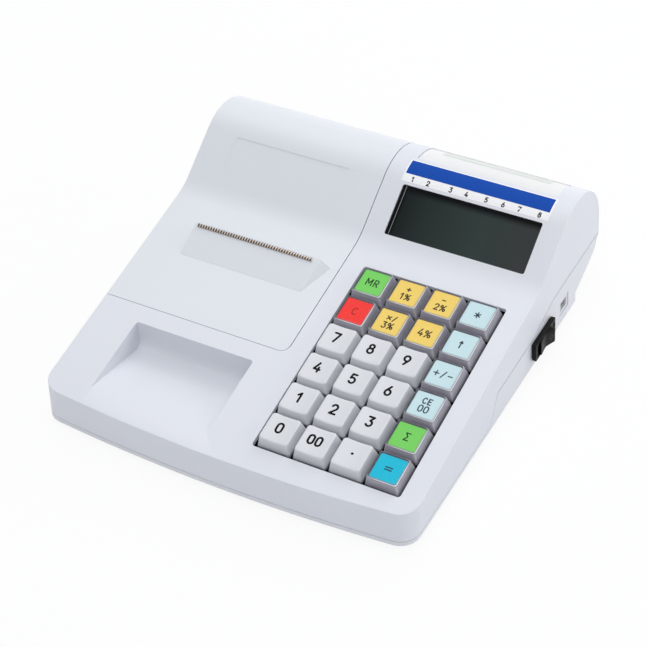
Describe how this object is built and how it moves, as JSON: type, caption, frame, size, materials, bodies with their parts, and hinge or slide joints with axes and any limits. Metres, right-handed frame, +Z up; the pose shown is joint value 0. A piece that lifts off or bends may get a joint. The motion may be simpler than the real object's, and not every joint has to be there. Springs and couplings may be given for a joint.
{
  "type": "ticket register",
  "caption": "Desktop ticket register with a sloping keypad, a display behind a dark window, a hinged printer cover with a tear bar, a coin tray and a side power switch.",
  "frame": {"origin": "middle of the overall box, on the table under the feet", "axes": "+X to the user's right, +Y to the back, +Z up; the user stands at -Y"},
  "size_m": [0.21, 0.2185, 0.0678],
  "materials": {
    "base_white": "fine texture",
    "board_green": "solder resist",
    "cap_grey": "satin",
    "chassis_zinc": "zinc plated",
    "cover_white": "fine texture",
    "customer_lens": "polished",
    "display_lens": "polished",
    "foot_rubber": "matt",
    "hinge_steel": "drawn",
    "housing_white": "fine texture",
    "insert_cyan": "clear cover over a coloured insert",
    "insert_green": "clear cover over a coloured insert",
    "insert_pale_blue": "clear cover over a coloured insert",
    "insert_red": "clear cover over a coloured insert",
    "insert_yellow": "clear cover over a coloured insert",
    "key_base_black": "satin",
    "motor_steel": "plain",
    "panel_grey": "satin",
    "paper": "smooth thermal paper",
    "plastic_dark": "satin",
    "platen_rubber": "ground",
    "socket_black": "satin",
    "switch_black": "polished",
    "tear_bar_steel": "copper tinted"
  },
  "bodies": {
    "housing": {"upper_housing": "housing_white", "hinge_pin_left": "hinge_steel", "hinge_pin_right": "hinge_steel", "lower_housing": "base_white", "foot_front_left": "foot_rubber", "foot_front_right": "foot_rubber", "foot_rear_left": "foot_rubber", "foot_rear_right": "foot_rubber", "key_base": "key_base_black", "keyboard_board": "board_green", "display_window": "display_lens", "display_module": "panel_grey", "customer_window": "customer_lens", "customer_module": "panel_grey", "power_switch": "switch_black", "interface_jack": "socket_black", "power_inlet": "socket_black", "main_board": "board_green", "printer_chassis": "chassis_zinc", "paper_spindle": "plastic_dark", "print_head": "plastic_dark", "feed_motor": "motor_steel", "gearbox": "plastic_dark"},
    "cover": {"printer_cover": "cover_white", "tear_bar": "tear_bar_steel"},
    "rocker": {"power_rocker": "switch_black"},
    "platen": {"platen_roller": "platen_rubber"},
    "roll": {"paper_roll": "paper"},
    "key_register": {"key_register": "insert_green"},
    "key_add": {"key_add": "insert_yellow"},
    "key_subtract": {"key_subtract": "insert_yellow"},
    "key_star": {"key_star": "insert_pale_blue"},
    "key_clear": {"key_clear": "insert_red"},
    "key_tax_3": {"key_tax_3": "insert_yellow"},
    "key_tax_4": {"key_tax_4": "insert_yellow"},
    "key_feed": {"key_feed": "insert_pale_blue"},
    "key_7": {"key_7": "cap_grey"},
    "key_8": {"key_8": "cap_grey"},
    "key_9": {"key_9": "cap_grey"},
    "key_repeat": {"key_repeat": "insert_pale_blue"},
    "key_4": {"key_4": "cap_grey"},
    "key_5": {"key_5": "cap_grey"},
    "key_6": {"key_6": "cap_grey"},
    "key_refund": {"key_refund": "insert_pale_blue"},
    "key_1": {"key_1": "cap_grey"},
    "key_2": {"key_2": "cap_grey"},
    "key_3": {"key_3": "cap_grey"},
    "key_subtotal": {"key_subtotal": "insert_green"},
    "key_0": {"key_0": "cap_grey"},
    "key_00": {"key_00": "cap_grey"},
    "key_point": {"key_point": "cap_grey"},
    "key_total": {"key_total": "insert_cyan"}
  },
  "joints": [
    {"name": "cover_hinge", "type": "hinge", "parent": "housing", "child": "cover", "pos_m": [-0.00271, 0.10739, 0.048], "axis": [-1, 0, 0], "range_deg": [0, 95]},
    {"name": "rocker_pivot", "type": "hinge", "parent": "housing", "child": "rocker", "pos_m": [0.09734, 0.03735, 0.0132], "axis": [0, 0, 1], "range_deg": [0, 18]},
    {"name": "platen_spin", "type": "hinge", "parent": "housing", "child": "platen", "pos_m": [-0.04684, 0.01807, 0.03029], "axis": [1, 0, 0], "continuous": true},
    {"name": "roll_spin", "type": "hinge", "parent": "housing", "child": "roll", "pos_m": [-0.04684, 0.07895, 0.0395], "axis": [1, 0, 0], "continuous": true},
    {"name": "key_register_press", "type": "slide", "parent": "housing", "child": "key_register", "axis": [0, 0.1645, -0.9864], "range_m": [0, 0.0036], "stiffness_N_per_m": 140, "springref_m": -0.0008},
    {"name": "key_add_press", "type": "slide", "parent": "housing", "child": "key_add", "axis": [0, 0.1645, -0.9864], "range_m": [0, 0.0036], "stiffness_N_per_m": 140, "springref_m": -0.0008},
    {"name": "key_subtract_press", "type": "slide", "parent": "housing", "child": "key_subtract", "axis": [0, 0.1645, -0.9864], "range_m": [0, 0.0036], "stiffness_N_per_m": 140, "springref_m": -0.0008},
    {"name": "key_star_press", "type": "slide", "parent": "housing", "child": "key_star", "axis": [0, 0.1645, -0.9864], "range_m": [0, 0.0036], "stiffness_N_per_m": 140, "springref_m": -0.0008},
    {"name": "key_clear_press", "type": "slide", "parent": "housing", "child": "key_clear", "axis": [0, 0.1645, -0.9864], "range_m": [0, 0.0036], "stiffness_N_per_m": 140, "springref_m": -0.0008},
    {"name": "key_tax_3_press", "type": "slide", "parent": "housing", "child": "key_tax_3", "axis": [0, 0.1645, -0.9864], "range_m": [0, 0.0036], "stiffness_N_per_m": 140, "springref_m": -0.0008},
    {"name": "key_tax_4_press", "type": "slide", "parent": "housing", "child": "key_tax_4", "axis": [0, 0.1645, -0.9864], "range_m": [0, 0.0036], "stiffness_N_per_m": 140, "springref_m": -0.0008},
    {"name": "key_feed_press", "type": "slide", "parent": "housing", "child": "key_feed", "axis": [0, 0.1645, -0.9864], "range_m": [0, 0.0036], "stiffness_N_per_m": 140, "springref_m": -0.0008},
    {"name": "key_7_press", "type": "slide", "parent": "housing", "child": "key_7", "axis": [0, 0.1645, -0.9864], "range_m": [0, 0.0036], "stiffness_N_per_m": 140, "springref_m": -0.0008},
    {"name": "key_8_press", "type": "slide", "parent": "housing", "child": "key_8", "axis": [0, 0.1645, -0.9864], "range_m": [0, 0.0036], "stiffness_N_per_m": 140, "springref_m": -0.0008},
    {"name": "key_9_press", "type": "slide", "parent": "housing", "child": "key_9", "axis": [0, 0.1645, -0.9864], "range_m": [0, 0.0036], "stiffness_N_per_m": 140, "springref_m": -0.0008},
    {"name": "key_repeat_press", "type": "slide", "parent": "housing", "child": "key_repeat", "axis": [0, 0.1645, -0.9864], "range_m": [0, 0.0036], "stiffness_N_per_m": 140, "springref_m": -0.0008},
    {"name": "key_4_press", "type": "slide", "parent": "housing", "child": "key_4", "axis": [0, 0.1645, -0.9864], "range_m": [0, 0.0036], "stiffness_N_per_m": 140, "springref_m": -0.0008},
    {"name": "key_5_press", "type": "slide", "parent": "housing", "child": "key_5", "axis": [0, 0.1645, -0.9864], "range_m": [0, 0.0036], "stiffness_N_per_m": 140, "springref_m": -0.0008},
    {"name": "key_6_press", "type": "slide", "parent": "housing", "child": "key_6", "axis": [0, 0.1645, -0.9864], "range_m": [0, 0.0036], "stiffness_N_per_m": 140, "springref_m": -0.0008},
    {"name": "key_refund_press", "type": "slide", "parent": "housing", "child": "key_refund", "axis": [0, 0.1645, -0.9864], "range_m": [0, 0.0036], "stiffness_N_per_m": 140, "springref_m": -0.0008},
    {"name": "key_1_press", "type": "slide", "parent": "housing", "child": "key_1", "axis": [0, 0.1645, -0.9864], "range_m": [0, 0.0036], "stiffness_N_per_m": 140, "springref_m": -0.0008},
    {"name": "key_2_press", "type": "slide", "parent": "housing", "child": "key_2", "axis": [0, 0.1645, -0.9864], "range_m": [0, 0.0036], "stiffness_N_per_m": 140, "springref_m": -0.0008},
    {"name": "key_3_press", "type": "slide", "parent": "housing", "child": "key_3", "axis": [0, 0.1645, -0.9864], "range_m": [0, 0.0036], "stiffness_N_per_m": 140, "springref_m": -0.0008},
    {"name": "key_subtotal_press", "type": "slide", "parent": "housing", "child": "key_subtotal", "axis": [0, 0.1645, -0.9864], "range_m": [0, 0.0036], "stiffness_N_per_m": 140, "springref_m": -0.0008},
    {"name": "key_0_press", "type": "slide", "parent": "housing", "child": "key_0", "axis": [0, 0.1645, -0.9864], "range_m": [0, 0.0036], "stiffness_N_per_m": 140, "springref_m": -0.0008},
    {"name": "key_00_press", "type": "slide", "parent": "housing", "child": "key_00", "axis": [0, 0.1645, -0.9864], "range_m": [0, 0.0036], "stiffness_N_per_m": 140, "springref_m": -0.0008},
    {"name": "key_point_press", "type": "slide", "parent": "housing", "child": "key_point", "axis": [0, 0.1645, -0.9864], "range_m": [0, 0.0036], "stiffness_N_per_m": 140, "springref_m": -0.0008},
    {"name": "key_total_press", "type": "slide", "parent": "housing", "child": "key_total", "axis": [0, 0.1645, -0.9864], "range_m": [0, 0.0036], "stiffness_N_per_m": 140, "springref_m": -0.0008}
  ]
}
